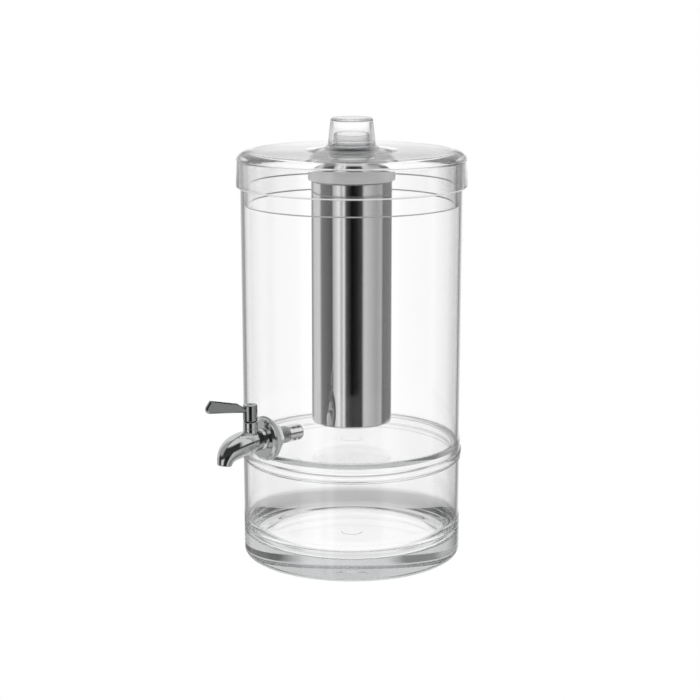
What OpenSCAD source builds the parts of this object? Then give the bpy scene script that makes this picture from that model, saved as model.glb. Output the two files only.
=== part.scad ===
// Juice dispenser: a clear jar on a clear pedestal, a lid that carries a steel ice tube, and a lever tap.
// The origin is the centre of the pedestal's underside, +Z is up and the tap points along -Y. Millimetres.

/* [Jar] */
// Outer diameter of the jar wall at its foot
jar_d = 214.4; // [200:0.2:230]
// Height of the jar from its seat on the pedestal to its rim
jar_h = 291.8; // [260:0.2:330]
// Thickness of the jar wall
jar_wall = 4; // [3:0.1:5]
// Growth of the jar's radius from foot to rim, which lets the moulding leave its tool
jar_draft = 1; // [0.4:0.1:1.6]
// Thickness of the jar floor
jar_floor = 5; // [4:0.1:7]
// Height of the jar floor's underside above the seat
jar_foot = 10.3; // [6:0.1:13]
// Radius of the corner between the jar wall and its floor
jar_corner = 2; // [1:0.1:5]
// How far the rolled bead round the jar's foot stands out of the wall
bead_out = 1.3; // [0.6:0.1:2.5]
// Height of the bead
bead_h = 6.4; // [4:0.1:10]
// Height of the plain edge under the bead
bead_low = 1; // [0.5:0.1:3]
// Depth of the ring under the jar that nests in the pedestal
spigot_h = 3.6; // [2:0.1:6]
// Thickness of that ring
spigot_wall = 4; // [3:0.1:6]

/* [Pedestal] */
// Height of the pedestal
base_h = 99; // [80:0.5:130]
// Thickness of the pedestal wall at its mouth
base_wall = 4.2; // [3:0.1:6]
// Difference in radius between the pedestal's mouth and its foot
base_draft = 0.8; // [0.2:0.1:1.6]
// How far the pedestal's mouth stands out beyond the jar's foot
base_over = 0.6; // [0:0.1:1.2]
// Thickness of the solid pedestal floor
base_floor = 17; // [12:0.5:24]
// Large inner radius between the pedestal's floor and wall
base_corner = 25; // [16:0.5:32]
// Outer edge radius under the pedestal
base_edge = 5; // [2:0.5:8]
// Width of the ring that the pedestal stands on
foot_ring_w = 9; // [5:0.5:16]
// Depth of the hollow inside that ring
foot_hollow = 1.2; // [0.6:0.1:2.5]
// Diameter of the moulding gate marks on both floors
gate_d = 21; // [12:0.5:28]
// Height of the gate marks
gate_h = 0.5; // [0.3:0.1:0.9]

/* [Lid] */
// Thickness of the lid plate
lid_plate = 4.5; // [3:0.1:6]
// Height of the lid's top above the jar rim
lid_rise = 8; // [7:0.1:11]
// Width of the rounded shoulder round the lid's top
crown_w = 15.5; // [10:0.5:22]
// Drop of that shoulder
crown_drop = 9; // [6:0.1:12]
// Depth of the outer skirt below the jar rim
skirt_h = 27; // [20:0.5:36]
// Thickness of the outer skirt at its root
skirt_wall = 2.4; // [1.8:0.1:3.5]
// Widening of the skirt towards its lower edge
skirt_flare = 0.7; // [0.2:0.1:1.2]
// Depth of the inner plug ring below the jar rim
plug_h = 44; // [30:0.5:60]
// Thickness of the plug ring
plug_wall = 3; // [2:0.1:4]
// Height of the trumpet-shaped boss in the middle of the lid
boss_h = 8.1; // [6:0.1:11]
// Width of the trumpet's flare on the lid
boss_flare = 24; // [12:0.5:30]
// Depth of the bell under the lid that stands on the tube cap
bell_h = 6.4; // [4:0.1:10]
// Thickness of the bell's rim
bell_wall = 3.4; // [2:0.1:5]
// Height of the guide at the top of the bell that holds the tube cap's neck
guide_h = 3.8; // [3:0.1:5]

/* [Knob and tube cap] */
// Outer diameter of the knob at its foot
knob_d = 45.4; // [43:0.2:52]
// Height of the knob
knob_h = 22.6; // [16:0.2:30]
// Narrowing of the knob's radius towards its top
knob_taper = 2.2; // [0.6:0.1:3]
// Thickness of the knob's top
knob_top = 3; // [2:0.1:5]
// Edge radius of the knob's top
knob_edge = 2.4; // [1:0.1:3.5]
// Outer diameter of the cap's neck
neck_d = 35.8; // [32:0.2:37]
// Thickness of the neck's wall
neck_wall = 2.9; // [2:0.1:5]
// Height that the neck stands up inside the knob
neck_rise = 6.3; // [4:0.1:9]
// Height of the cap
cap_h = 17.6; // [14:0.1:22]
// Thickness of the cap's top plate
cap_plate = 4.3; // [3:0.1:6]
// How far the cap's rim stands out over the tube
cap_over = 3; // [2:0.1:4]
// Height of that rim
cap_rim_h = 8.8; // [6:0.1:12]
// Step from the rim to the cap's upper part
cap_step = 1; // [0.4:0.1:1.8]
// Edge radius of the cap's rim and top
cap_edge = 1.2; // [0.6:0.1:2]
// Depth of the ring under the cap that enters the tube
cap_ring_h = 12; // [8:0.5:18]
// Thickness of that ring
cap_ring_wall = 2.6; // [2:0.1:4]
// Thickness of the flat seal between the cap and the tube's rim
seal_t = 1.2; // [0.8:0.1:2]

/* [Ice tube] */
// Outer diameter of the steel tube
tube_d = 78.6; // [70:0.2:86]
// Height of the tube's closed end above the jar floor
tube_lift = 17.7; // [12:0.1:40]
// Thickness of its sheet steel
tube_wall = 1; // [0.7:0.1:2]
// Edge radius at its closed end
tube_edge = 2.4; // [2.1:0.1:4]

/* [Tap mounting] */
// Height of the tap's axis above the jar floor
tap_rise = 17; // [16:0.1:28]
// Diameter of the threaded shank
shank_d = 16.6; // [14:0.1:18]
// Bore of the shank
shank_bore = 11; // [8:0.1:12]
// Length of the shank from the flange into the jar
shank_in = 25.6; // [22:0.1:44]
// Diameter of the outer gasket
gasket_d = 42.6; // [38:0.2:46]
// Least thickness of the outer gasket
gasket_t = 1.8; // [1:0.1:5]
// Gap between the inner gasket and the rounded corner of the jar floor
inner_gasket_gap = 0.6; // [0.3:0.1:4]
// Thickness of the inner gasket at its middle
inner_gasket_t = 2.6; // [2:0.1:5]
// Diameter of the steel flange
flange_d = 41; // [30:0.2:44]
// Thickness of the steel flange
flange_t = 4.4; // [2:0.1:6]
// How far the washer behind the inner gasket stays inside its edge
washer_step = 0.3; // [0.1:0.1:5]
// Thickness of that washer
washer_t = 2; // [1:0.1:4]
// Size of the lock nut across its flats
nut_flats = 24; // [21:0.5:27]
// Thickness of the lock nut
nut_t = 4.5; // [3:0.1:9]

/* [Tap spout] */
// Distance from the jar wall to the valve's axis
stem_out = 18.7; // [17:0.1:26]
// Distance from the jar wall to the middle of the outlet
spout_out = 49.7; // [44:0.1:58]
// Drop of the outlet below the tap's axis
spout_drop = 18; // [15:0.1:24]
// Outer diameter of the spout at the outlet
spout_end_d = 13.4; // [12.4:0.1:15]
// Bore of the spout
spout_bore = 9.2; // [6:0.1:9.6]
// Outer diameter of the barrel where it meets the flange
barrel_d = 18.6; // [17:0.1:22]
// Control diameter that swells the horn behind its bend
horn_swell_d = 30; // [26:0.5:33]
// Control diameter that tapers the horn into its outlet
horn_taper_d = 19; // [16:0.5:23]

/* [Tap valve] */
// Outer diameter of the valve neck, the bonnet and the lever's hub
hub_d = 13.8; // [13.4:0.1:16]
// Diameter of the valve chamber
chamber_d = 12.4; // [11.8:0.1:12.6]
// Thickness of the sealing sleeve in the chamber
seat_wall = 1.15; // [0.8:0.05:1.4]
// Height of the sealing sleeve
seat_h = 15; // [12:0.5:16]
// Bore across the plug
plug_bore = 8; // [5:0.1:8.4]
// Diameter of the stem
stem_d = 6.8; // [5.6:0.1:7.2]
// Height of the valve neck's top above the tap's axis
valve_neck_h = 13.5; // [12:0.1:18]
// Height of the bonnet that shows above the neck
bonnet_h = 6; // [5:0.1:10]
// Thickness of the round ring of the stem seals
o_ring_t = 1.24; // [0.9:0.02:1.5]
// Height of the black ring under the hub
dust_ring_h = 1.2; // [0.8:0.1:2]

/* [Tap lever] */
// Height of the lever's hub
hub_h = 15.2; // [14:0.1:20]
// Length of the lever from the valve's axis to its tip
lever_len = 52; // [38:0.5:66]
// Height of the lever's line above the foot of its hub
lever_rise = 11.2; // [9:0.1:12]
// Upward tilt of the lever
lever_tilt = 10.7; // [4:0.1:16]
// Height of the lever's blade at its tip
blade_h = 12.3; // [10:0.1:14]
// Height of the blade at its heel
blade_heel_h = 9; // [7.5:0.1:10]
// Thickness of the lever's blade
blade_t = 4.4; // [3:0.1:6]
// Width of the bevel round the blade
blade_bevel = 1.3; // [0.6:0.1:1.8]
// Height of the lever where it leaves its hub
lever_neck_h = 4.6; // [4:0.1:6]
// Distance from the valve's axis to the heel of the blade
blade_start = 17; // [13:0.5:20]
// Diameter of the lever's screw head
screw_head_d = 5.2; // [4:0.1:6]
// Diameter of the lever's screw
screw_d = 2.6; // [2:0.1:3]

/* [Strainer] */
// Length of the strainer past the shank's end
strainer_len = 17; // [12:0.5:22]
// Outer diameter of the strainer
strainer_d = 16; // [14:0.1:18]
// Thickness of its wall
strainer_wall = 1.4; // [1:0.1:2]
// Depth that its spigot enters the shank
strainer_spigot = 6; // [4:0.5:10]
// Diameter of its holes
strainer_hole = 3; // [1.5:0.1:3.4]
// Holes round the strainer in each row
strainer_around = 4; // [3:1:6]

/* [Clearances] */
// Gap between pieces that are set on each other by hand
seat_gap = 0.2; // [0.1:0.05:0.4]
// Gap between pieces that turn on each other
turn_gap = 0.3; // [0.2:0.05:0.5]
// Radial gap between the jar's rim and the lid's rings, and under the jar
slip_gap = 0.6; // [0.4:0.05:1]
// Radial clearance of the plug and the stem
run_fit = 0.05; // [0.03:0.01:0.08]
// Radial clearance of the threaded and the pressed-in pieces
thread_fit = 0.1; // [0.05:0.01:0.2]

/* [Hidden] */
$fn = 96;

CLEAR = [0.86, 0.89, 0.90, 0.45];
STEEL = [0.76, 0.76, 0.77];
SILICONE = [0.86, 0.86, 0.87];
BLACK = [0.08, 0.08, 0.08];
WHITE = [0.94, 0.94, 0.93];

// Levels, from the table upwards
seat_z = base_h + seat_gap;
jar_under_z = seat_z + jar_foot;
jar_floor_z = jar_under_z + jar_floor;
jar_rim_z = seat_z + jar_h;
lid_seat_z = jar_rim_z + seat_gap;
lid_top_z = lid_seat_z + lid_rise;
lid_under_z = lid_top_z - lid_plate;
skirt_z = lid_seat_z - skirt_h;
plug_z = lid_seat_z - plug_h;
boss_z = lid_top_z + boss_h;
bell_z = lid_under_z - bell_h;
knob_z = boss_z + turn_gap;
neck_top_z = knob_z + neck_rise;
cap_z = bell_z - cap_h;
seal_z = cap_z - seal_t;
tube_top_z = seal_z - turn_gap;
tube_z = jar_floor_z + tube_lift;
tap_z = jar_floor_z + tap_rise;

// Radii of the round pieces on the main axis
jar_r = jar_d / 2;
jar_top_r = jar_r + jar_draft;
bead_r = jar_r + bead_out;
base_top_r = jar_r + base_over;
base_foot_r = base_top_r - base_draft;
spigot_r = base_top_r - base_wall - slip_gap;
plug_r = jar_top_r - jar_wall - slip_gap;
skirt_in_r = jar_top_r + slip_gap;
skirt_r = skirt_in_r + skirt_wall;
neck_r = neck_d / 2;
neck_hole_r = neck_r + thread_fit;
knob_r = knob_d / 2;
knob_in_r = neck_r + turn_gap;
boss_r = knob_r + seat_gap;
tube_r = tube_d / 2;
cap_r = tube_r + cap_over;
cap_top_r = cap_r - cap_step;
cap_ring_r = tube_r - tube_wall - turn_gap;
bell_r = cap_top_r - cap_edge;
bell_in_r = bell_r - bell_wall;

// Stations along the tap, counted from the jar's axis outwards
function jar_r_at(z) = jar_r + jar_draft * (z - seat_z) / jar_h;
wall_out = jar_r_at(tap_z);
wall_in = wall_out - jar_wall;
flange_s = wall_out + gasket_t;
body_s = flange_s + flange_t;
stem_s = wall_out + stem_out;
spout_s = wall_out + spout_out;
spout_z = tap_z - spout_drop;
inner_gasket_s = wall_in - inner_gasket_t;
inner_gasket_r = tap_rise - jar_corner - inner_gasket_gap;
washer_s = inner_gasket_s - washer_t;
nut_s = washer_s - nut_t;
shank_s = flange_s - shank_in;
strainer_s = shank_s - strainer_len;

// Levels of the valve
valve_neck_z = tap_z + valve_neck_h;
bonnet_z = valve_neck_z + bonnet_h;
hub_z = bonnet_z + dust_ring_h;
hub_top_z = hub_z + hub_h;
seat_bottom_z = tap_z - seat_h / 2;
seat_top_z = tap_z + seat_h / 2;
chamber_r = chamber_d / 2;
hub_r = hub_d / 2;
seat_r = chamber_r - thread_fit;
plug_cone_r = seat_r - seat_wall - run_fit;
stem_r = stem_d / 2;
screw_sink = 0.4;
screw_seat_z = hub_top_z - screw_d - screw_sink;
stem_top_z = screw_seat_z - screw_d / 2;
screw_end_z = stem_top_z - 3 * screw_d;
o_ring_zs = [seat_top_z + 2 * o_ring_t, valve_neck_z + o_ring_t];

// A ring or a disc as a flat half section: inner radius, outer radius, lower and upper level
module band(r0, r1, z0, z1) {
    translate([r0, z0]) square([r1 - r0, z1 - z0]);
}

// Half section of a straight or drafted cup's inside, with a rounded corner between its floor and wall
module rounded_well(r_low, r_high, z0, z1, corner) {
    polygon([[0, z0], [r_low - corner, z0], [r_low, z0 + corner], [r_high, z1], [0, z1]]);
    translate([r_low - corner, z0 + corner]) circle(corner);
}

// Places a shape so that its +Z runs out of the jar along the tap, starting at a station
module on_tap(s) {
    translate([0, -s, tap_z]) rotate([90, 0, 0]) children();
}

// A ring on the tap's axis: station, thickness, outer and inner radius
module tap_ring(s, t, r1, r0) {
    on_tap(s) difference() {
        cylinder(r = r1, h = t);
        translate([0, 0, -1]) cylinder(r = r0, h = t + 2);
    }
}

// Places a shape on the valve's upright axis
module on_valve() {
    translate([0, -stem_s, 0]) children();
}

// A turned piece on the valve's axis
module valve_turned() {
    on_valve() rotate_extrude() children();
}

// Pedestal: a thick-floored clear cup with a wide inner radius, standing on a narrow ring
module base_stand() {
    well_r = base_top_r - base_wall;
    color(CLEAR) rotate_extrude() {
        difference() {
            union() {
                polygon([[0, 0], [base_foot_r - base_edge, 0], [base_foot_r, base_edge],
                    [base_top_r, base_h], [0, base_h]]);
                translate([base_foot_r - base_edge, base_edge]) circle(base_edge);
            }
            rounded_well(well_r - base_draft / 2, well_r, base_floor, base_h + 1, base_corner);
            band(0, base_foot_r - base_edge - foot_ring_w, -1, foot_hollow);
        }
        band(0, gate_d / 2, base_floor - gate_h, base_floor + gate_h);
    }
}

// Solid outline of the jar wall without its bead, grown by a gap, for the jar and what is shaped to it
module jar_outline(grow, z0, z1) {
    polygon([[0, z0], [jar_r_at(z0) + grow, z0], [jar_r_at(z1) + grow, z1], [0, z1]]);
}

// Jar: drafted wall, floor, nesting ring, rolled foot bead, rounded rim and the hole for the tap
module juice_jar() {
    bead_z = seat_z + bead_low;
    bead = [for (a = [0:15:180]) [jar_r + bead_out * sin(a), bead_z + bead_h * (1 - cos(a)) / 2]];
    rim_round = jar_wall / 2;
    in_r = jar_r_at(jar_floor_z) - jar_wall;
    color(CLEAR) difference() {
        rotate_extrude() {
            difference() {
                union() {
                    jar_outline(0, seat_z + 1, jar_rim_z - rim_round);
                    polygon(concat([[0, seat_z], [jar_r, seat_z]], bead, [[0, bead_z + bead_h]]));
                    band(0, spigot_r, seat_z - spigot_h, seat_z + 1);
                }
                rounded_well(in_r, jar_top_r - jar_wall, jar_floor_z, jar_rim_z + 1, jar_corner);
                band(0, spigot_r - spigot_wall, seat_z - spigot_h - 1, jar_under_z);
            }
            translate([jar_top_r - rim_round, jar_rim_z - rim_round]) circle(rim_round);
            band(0, gate_d / 2, jar_under_z - gate_h, jar_under_z + gate_h);
        }
        on_tap(0) cylinder(r = shank_d / 2 + seat_gap, h = bead_r + 1);
    }
}

// Lid: crowned plate with an outer skirt, an inner plug ring and a hollow trumpet opening into a bell
module lid() {
    crown_r = skirt_r - crown_w;
    crown_z = lid_top_z - crown_drop;
    crown = [for (a = [0:10:80]) [crown_r + crown_w * cos(a), crown_z + crown_drop * sin(a)]];
    flare = [for (a = [80:-10:0]) [boss_r + boss_flare * pow(1 - cos(a), 1.5), boss_z - boss_h * sin(a)]];
    edge = (skirt_wall + skirt_flare) / 2;
    plug_edge = plug_wall / 2;
    guide_z = boss_z - guide_h;
    bell_slope = (bell_in_r - neck_hole_r) / (guide_z - bell_z);
    color(CLEAR) rotate_extrude() {
        difference() {
            union() {
                polygon(concat([[0, skirt_z + edge], [skirt_r + skirt_flare, skirt_z + edge]], crown,
                    [[crown_r, lid_top_z], [0, lid_top_z]]));
                translate([skirt_in_r + edge, skirt_z + edge]) circle(edge);
                band(plug_r - plug_wall, plug_r, plug_z + plug_edge, lid_top_z - crown_drop);
                translate([plug_r - plug_edge, plug_z + plug_edge]) circle(plug_edge);
                polygon(concat([[0, lid_top_z - 1], [boss_r + boss_flare, lid_top_z - 1]], flare,
                    [[0, boss_z]]));
            }
            band(plug_r, skirt_in_r, skirt_z - 1, lid_seat_z);
            polygon([[0, skirt_z - 1], [plug_r - plug_wall, skirt_z - 1], [plug_r - plug_wall, lid_under_z],
                [bell_r - bell_slope * bell_h, lid_under_z], [bell_r, bell_z], [0, bell_z]]);
            polygon([[0, bell_z - 1], [bell_in_r, bell_z - 1], [bell_in_r, bell_z], [neck_hole_r, guide_z],
                [neck_hole_r, boss_z + 1], [0, boss_z + 1]]);
        }
    }
}

// Tube cap: a stepped hollow cap with a ring that turns into the tube and a neck up through the lid
module tube_cap() {
    rim_z = cap_z + cap_rim_h;
    color(CLEAR) rotate_extrude() difference() {
        union() {
            band(0, cap_r, cap_z, rim_z - cap_edge);
            band(0, cap_r - cap_edge, cap_z, rim_z);
            translate([cap_r - cap_edge, rim_z - cap_edge]) circle(cap_edge);
            band(0, cap_top_r, cap_z, bell_z - cap_edge);
            band(0, cap_top_r - cap_edge, cap_z, bell_z);
            translate([cap_top_r - cap_edge, bell_z - cap_edge]) circle(cap_edge);
            band(0, cap_ring_r, cap_z - cap_ring_h, cap_z + 1);
            band(0, neck_r, cap_z, neck_top_z);
        }
        band(0, cap_ring_r - cap_ring_wall, cap_z - cap_ring_h - 1, bell_z - cap_plate);
        band(0, neck_r - neck_wall, cap_z, neck_top_z + 1);
    }
}

// Flat seal round the cap's ring that the tube's rim is drawn against
module tube_seal() {
    color(SILICONE) rotate_extrude()
        band(cap_ring_r + thread_fit, tube_r, seal_z, cap_z);
}

// Knob: a hollow tapered cup screwed on the neck, which clamps lid and tube cap together
module lid_knob() {
    top_z = knob_z + knob_h;
    top_r = knob_r - knob_taper;
    color(CLEAR) rotate_extrude() difference() {
        union() {
            polygon([[0, knob_z], [knob_r, knob_z], [top_r, top_z - knob_edge],
                [top_r - knob_edge, top_z], [0, top_z]]);
            translate([top_r - knob_edge, top_z - knob_edge]) circle(knob_edge);
        }
        band(0, knob_in_r, knob_z - 1, neck_top_z + turn_gap);
        band(0, min(knob_in_r, top_r - knob_top), knob_z, top_z - knob_top);
    }
}

// Ice tube: drawn sheet steel, closed below, open into the cap
module ice_tube() {
    in_r = tube_r - tube_wall;
    color(STEEL) rotate_extrude() difference() {
        rounded_well(tube_r, tube_r, tube_z, tube_top_z, tube_edge);
        rounded_well(in_r, in_r, tube_z + tube_wall, tube_top_z + 1, tube_edge - tube_wall);
    }
}

// Cubic curve through two end values with two control values
function bend(a, b, c, d, t) = let (u = 1 - t)
    pow(u, 3) * a + 3 * t * pow(u, 2) * b + 3 * t * t * u * c + pow(t, 3) * d;

// Spout horn: circles lofted along a curve that leaves the flange level and ends pointing down
horn_rings = 20;
horn_sides = 32;
horn_lean = 2;
horn_arch = 0.6;
horn_start = 1.5;
horn_path = [[body_s + horn_start, tap_z], [body_s + 0.75 * (spout_s - body_s), tap_z + horn_arch],
    [spout_s - horn_lean, tap_z - 0.3 * spout_drop], [spout_s, spout_z]];
function horn_point(t) = [for (k = [0:1])
    bend(horn_path[0][k], horn_path[1][k], horn_path[2][k], horn_path[3][k], t)];
function horn_radius(t) = bend(barrel_d, horn_swell_d, horn_taper_d, spout_end_d, t) / 2;
function horn_dir(t) = let (d = horn_point(t + 0.001) - horn_point(t - 0.001)) d / norm(d);
function horn_ring(t) = let (p = horn_point(t), d = horn_dir(t), r = horn_radius(t))
    [for (k = [0:horn_sides - 1]) let (a = 360 * k / horn_sides)
        [r * cos(a), -p[0] - r * sin(a) * d[1], p[1] - r * sin(a) * d[0]]];

module horn() {
    n = horn_sides;
    points = [for (i = [0:horn_rings]) each horn_ring(i / horn_rings)];
    sides = [for (i = [0:horn_rings - 1], k = [0:n - 1]) let (a = i * n + k, b = i * n + (k + 1) % n)
        each [[a, b, b + n], [a, b + n, a + n]]];
    ends = [[for (k = [n - 1:-1:0]) k], [for (k = [0:n - 1]) horn_rings * n + k]];
    polyhedron(points, concat(sides, ends));
}

// A bore between two points in the tap's upright plane, given as station and level
module plane_bore(p, q, r) {
    d = q - p;
    translate([0, -p[0], p[1]]) rotate([90 - atan2(d[1], d[0]), 0, 0]) cylinder(r = r, h = norm(d));
}

// Tap body: shank, horn spout and valve neck cast in one piece, with the water way bored through it
module tap_body() {
    out_dir = horn_dir(0.999);
    elbow = horn_path[3] - out_dir * 0.72 * spout_drop;
    valve_p = [stem_s, tap_z];
    bore_r = spout_bore / 2;
    color(STEEL) difference() {
        union() {
            horn();
            on_tap(shank_s) cylinder(r = shank_d / 2, h = body_s - shank_s + 1);
            on_tap(body_s) cylinder(r1 = barrel_d / 2 + 1.5, r2 = barrel_d / 2, h = 3);
            on_valve() translate([0, 0, tap_z]) cylinder(r = hub_r, h = valve_neck_h);
            on_valve() translate([0, 0, tap_z + 0.4 * valve_neck_h])
                cylinder(r1 = hub_r + 3, r2 = hub_r, h = 0.4 * valve_neck_h);
        }
        on_valve() translate([0, 0, seat_bottom_z - seat_gap]) cylinder(r = chamber_r, h = 3 * valve_neck_h);
        on_tap(shank_s - 1) cylinder(r = shank_bore / 2, h = stem_s - shank_s + 1 - plug_cone_r);
        plane_bore(valve_p, elbow, bore_r);
        plane_bore(elbow - out_dir * bore_r, horn_path[3] + out_dir * 2, bore_r);
    }
}

// Flange: a turned disc with a coned face behind the tap body
module tap_flange() {
    color(STEEL) on_tap(flange_s) rotate_extrude() polygon([[shank_d / 2 + thread_fit, 0], [flange_d / 2, 0],
        [flange_d / 2, 0.6 * flange_t], [flange_d / 2 - 2.4, flange_t], [shank_d / 2 + thread_fit, flange_t]]);
}

// Outer gasket: flat against the flange and hollowed to the round of the jar
module outer_gasket() {
    color(SILICONE) difference() {
        tap_ring(0, flange_s, gasket_d / 2, shank_d / 2 + thread_fit);
        rotate_extrude($fn = 360) jar_outline(thread_fit, seat_z, tap_z + gasket_d);
    }
}

// Inner gasket: flat against the washer and crowned to the inside of the jar
module inner_gasket() {
    color(BLACK) intersection() {
        tap_ring(inner_gasket_s, jar_wall + inner_gasket_t, inner_gasket_r, shank_d / 2 + thread_fit);
        rotate_extrude($fn = 360) jar_outline(-jar_wall - thread_fit, seat_z, tap_z + gasket_d);
    }
}

// Thick washer behind the inner gasket
module inner_washer() {
    color(SILICONE) tap_ring(washer_s, washer_t, inner_gasket_r - washer_step, shank_d / 2 + thread_fit);
}

// Lock nut: six flats with chamfered corners, on the shank
module lock_nut() {
    corner_r = nut_flats / 2 / cos(30);
    color(STEEL) on_tap(nut_s) difference() {
        intersection() {
            cylinder(r = corner_r, h = nut_t, $fn = 6);
            union() {
                translate([0, 0, 1]) cylinder(r = corner_r + 1, h = nut_t);
                cylinder(r1 = corner_r - 1, r2 = corner_r, h = 1);
            }
        }
        translate([0, 0, -1]) cylinder(r = shank_d / 2 + thread_fit, h = nut_t + 2);
    }
}

// Strainer: a closed tube with two rows of holes and a spigot in the shank's bore
module strainer() {
    r = strainer_d / 2;
    edge = strainer_wall;
    spigot = shank_bore / 2 - thread_fit;
    color(STEEL) on_tap(strainer_s) difference() {
        rotate_extrude() difference() {
            union() {
                band(0, r, edge, strainer_len - edge);
                band(0, r - edge, 0, strainer_len);
                translate([r - edge, edge]) circle(edge);
                band(0, spigot, 0, strainer_len + strainer_spigot);
            }
            band(0, r - strainer_wall, strainer_wall, strainer_len - 2 * strainer_wall);
            band(0, spigot - strainer_wall, strainer_wall, strainer_len + strainer_spigot + 1);
        }
        for (row = [0:1], k = [0:strainer_around - 1])
            translate([0, 0, strainer_len * (0.28 + 0.32 * row)])
                rotate([0, 90, 360 * (k + 0.6) / strainer_around]) cylinder(r = strainer_hole / 2, h = r + 1);
    }
}

// Sealing sleeve in the valve chamber, open towards the jar and the spout
module valve_seat() {
    color(WHITE) difference() {
        valve_turned() band(seat_r - seat_wall, seat_r, seat_bottom_z, seat_top_z);
        on_tap(stem_s - chamber_d) cylinder(r = plug_bore / 2, h = 2 * chamber_d);
    }
}

// Bonnet: screwed into the valve neck, it keeps plug and sleeve down and guides the stem
module bonnet() {
    spigot_low = seat_top_z + seat_gap;
    chamfer = 0.6;
    color(STEEL) valve_turned() difference() {
        union() {
            band(0, chamber_r - thread_fit, spigot_low, bonnet_z - chamfer);
            band(0, hub_r, valve_neck_z, bonnet_z - chamfer);
            polygon([[0, bonnet_z - chamfer], [hub_r, bonnet_z - chamfer],
                [hub_r - chamfer, bonnet_z], [0, bonnet_z]]);
        }
        band(0, stem_r + run_fit, spigot_low - 1, bonnet_z + 1);
    }
}

// Black ring that keeps juice and dust out between bonnet and hub
module dust_ring() {
    color(BLACK) valve_turned() band(stem_r + run_fit, hub_r - 0.7, bonnet_z, hub_z - seat_gap);
}

// Plug and stem in one piece: a bore across the plug, which lies across the flow while the tap is closed
module valve_plug() {
    floor_gap = seat_gap;
    color(STEEL) difference() {
        valve_turned() difference() {
            union() {
                band(0, plug_cone_r, seat_bottom_z + floor_gap, seat_top_z);
                band(0, stem_r, tap_z, stem_top_z);
            }
            band(0, screw_d / 2 + thread_fit, screw_end_z - screw_d, stem_top_z + 1);
            for (z = o_ring_zs)
                band(stem_r - o_ring_t + run_fit, stem_r + 1, z - 0.6 * o_ring_t, z + 0.6 * o_ring_t);
        }
        on_valve() translate([-chamber_d, 0, tap_z]) rotate([0, 90, 0])
            cylinder(r = plug_bore / 2, h = 2 * chamber_d);
    }
}

// Stem seals: two round rings in the stem's grooves
module stem_o_rings() {
    color(BLACK) valve_turned() for (z = o_ring_zs)
        translate([stem_r - o_ring_t / 2 + run_fit, z]) circle(o_ring_t / 2 - run_fit / 2);
}

// Half height of the blade at a distance from the valve's axis: it widens steadily towards the tip
function blade_half(p) = let (way = (p - blade_start) / (lever_len - blade_start))
    (blade_heel_h + (blade_h - blade_heel_h) * way) / 2;

// Side outline of the lever, drawn in by an inset: a slanted tip with a round toe and a tapered heel
module blade_side(inset) {
    h = blade_h - 2 * inset;
    tip = lever_len - inset;
    toe = 0.36 * h;
    root = 0.65 * hub_r;
    neck_top = lever_neck_h - blade_half(hub_r);
    taper = (blade_half(blade_start) - neck_top) / (blade_start - hub_r);
    polygon(concat([[root, inset - blade_half(root)]],
        [for (a = [-90:15:30]) [tip - toe + toe * cos(a), -h / 2 + toe + toe * sin(a)]],
        [[tip - 0.3 * h, h / 2], [blade_start, blade_half(blade_start) - inset],
            [root, neck_top - taper * (hub_r - root) - inset]]));
}

// Lever: a turned hub on the stem, and a bevelled upright blade that rises towards its tip
module tap_handle() {
    chamfer = 0.8;
    color(STEEL) difference() {
        union() {
            valve_turned() polygon([[0, hub_z], [hub_r, hub_z], [hub_r, hub_top_z - chamfer],
                [hub_r - chamfer, hub_top_z], [0, hub_top_z]]);
            on_valve() translate([0, 0, hub_z + lever_rise])
                rotate([90, 0, -90]) rotate([0, 0, lever_tilt]) hull() {
                translate([0, 0, -blade_t / 2]) linear_extrude(blade_t) blade_side(blade_bevel);
                translate([0, 0, blade_bevel - blade_t / 2])
                    linear_extrude(blade_t - 2 * blade_bevel) blade_side(0);
            }
        }
        valve_turned() {
            band(0, stem_r + thread_fit, hub_z - 1, stem_top_z + seat_gap);
            band(0, screw_d / 2 + seat_gap, hub_z, hub_top_z + 1);
            band(0, screw_head_d / 2 + seat_gap, screw_seat_z, hub_top_z + 1);
        }
    }
}

// Screw that holds the lever on the stem, sunk in the hub's top, with a six-sided socket
module handle_screw() {
    head_z = hub_top_z - screw_sink;
    color(STEEL) difference() {
        valve_turned() {
            band(0, screw_d / 2, screw_end_z, head_z);
            band(0, screw_head_d / 2, screw_seat_z, head_z);
        }
        on_valve() translate([0, 0, head_z - screw_d / 2]) cylinder(r = 0.55 * screw_d, h = screw_d, $fn = 6);
    }
}

base_stand();
juice_jar();
lid();
tube_cap();
tube_seal();
lid_knob();
ice_tube();
tap_body();
tap_flange();
outer_gasket();
inner_gasket();
inner_washer();
lock_nut();
strainer();
valve_seat();
bonnet();
dust_ring();
valve_plug();
stem_o_rings();
tap_handle();
handle_screw();
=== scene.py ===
"""Juice dispenser: a clear jar on a clear pedestal, with a lid, a steel ice tube and a lever tap."""
import math

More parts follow.
